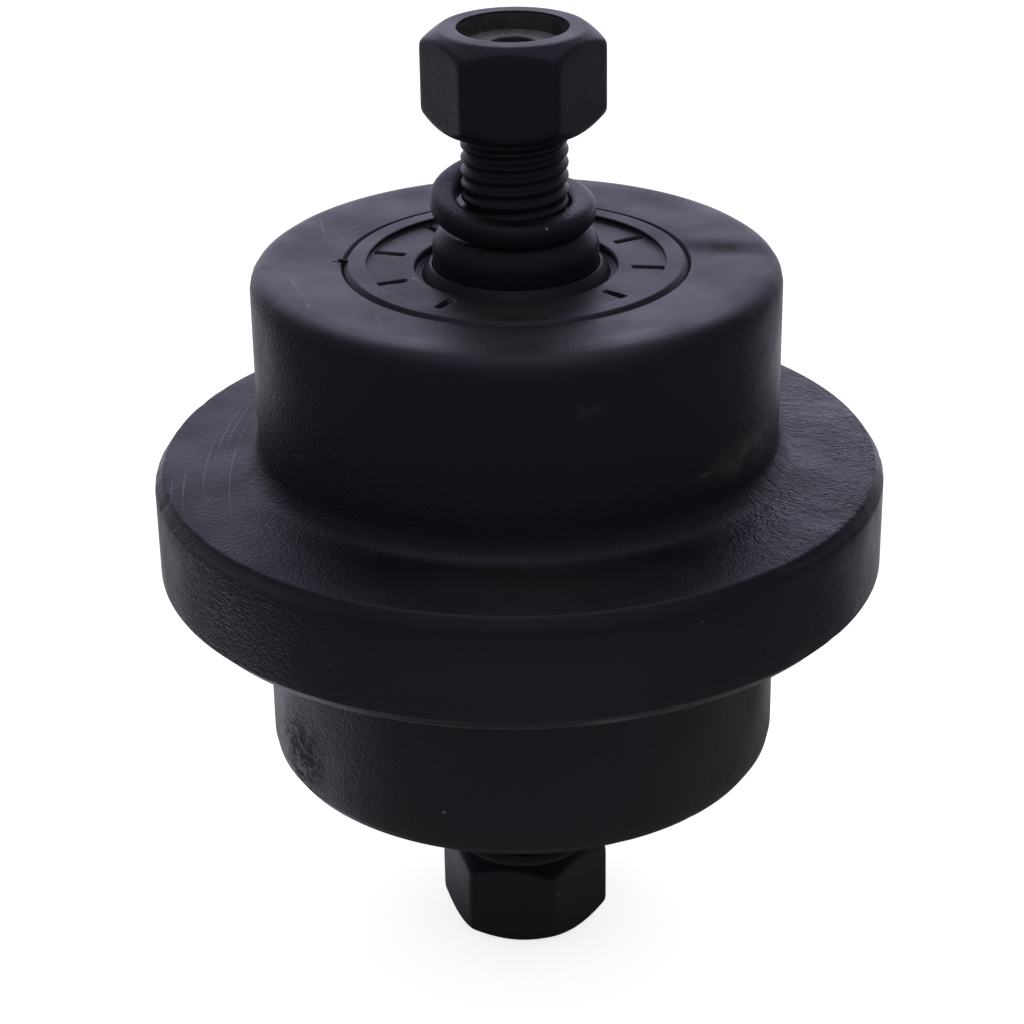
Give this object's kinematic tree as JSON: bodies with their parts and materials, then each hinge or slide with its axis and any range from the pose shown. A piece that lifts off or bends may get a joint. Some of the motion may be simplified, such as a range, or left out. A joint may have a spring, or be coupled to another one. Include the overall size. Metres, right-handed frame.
{
  "type": "track bottom roller",
  "caption": "Flanged track bottom roller for a small excavator: a steel roller on sealed ball bearings, with a threaded stud, nut and spring washer at each end of its fixed shaft.",
  "frame": {"origin": "centre of the guide flange, on the shaft's axis", "axes": "+Z along the shaft towards the upper stud; the roller stands on the lower nut, and -Y faces the viewer of the picture"},
  "size_m": [0.1124, 0.1124, 0.151],
  "materials": {
    "black_paint": "satin",
    "seal_rubber": "matte",
    "bearing_steel": "ground",
    "cage_steel": "pressed",
    "spring_steel": "oiled"
  },
  "bodies": {
    "shaft": {"roller_shaft": "black_paint", "upper_inner_race": "bearing_steel", "lower_inner_race": "bearing_steel", "upper_nut": "black_paint", "lower_nut": "black_paint", "upper_spring_washer": "black_paint", "lower_spring_washer": "black_paint"},
    "roller": {"roller_shell": "black_paint", "upper_seal": "seal_rubber", "lower_seal": "seal_rubber", "upper_garter_spring": "spring_steel", "lower_garter_spring": "spring_steel", "upper_circlip": "spring_steel", "lower_circlip": "spring_steel", "upper_outer_race": "bearing_steel", "lower_outer_race": "bearing_steel"},
    "upper_cage": {"upper_cage_outer": "cage_steel", "upper_cage_inner": "cage_steel", "upper_cage_rivets": "cage_steel", "upper_ball_1": "bearing_steel", "upper_ball_2": "bearing_steel", "upper_ball_3": "bearing_steel", "upper_ball_4": "bearing_steel", "upper_ball_5": "bearing_steel", "upper_ball_6": "bearing_steel", "upper_ball_7": "bearing_steel", "upper_ball_8": "bearing_steel", "upper_ball_9": "bearing_steel"},
    "lower_cage": {"lower_cage_outer": "cage_steel", "lower_cage_inner": "cage_steel", "lower_cage_rivets": "cage_steel", "lower_ball_1": "bearing_steel", "lower_ball_2": "bearing_steel", "lower_ball_3": "bearing_steel", "lower_ball_4": "bearing_steel", "lower_ball_5": "bearing_steel", "lower_ball_6": "bearing_steel", "lower_ball_7": "bearing_steel", "lower_ball_8": "bearing_steel", "lower_ball_9": "bearing_steel"}
  },
  "joints": [
    {"name": "roller_spin", "type": "hinge", "parent": "shaft", "child": "roller", "pos_m": [0, 0, 0], "axis": [0, 0, 1], "continuous": true},
    {"name": "upper_cage_spin", "type": "hinge", "parent": "shaft", "child": "upper_cage", "pos_m": [0, 0, 0.0235], "axis": [0, 0, 1], "continuous": true},
    {"name": "lower_cage_spin", "type": "hinge", "parent": "shaft", "child": "lower_cage", "pos_m": [0, 0, -0.0235], "axis": [0, 0, 1], "continuous": true}
  ],
  "couplings": [
    {"joint": "upper_cage_spin", "follows": "roller_spin", "ratio": 0.60309},
    {"joint": "lower_cage_spin", "follows": "roller_spin", "ratio": 0.60309}
  ]
}
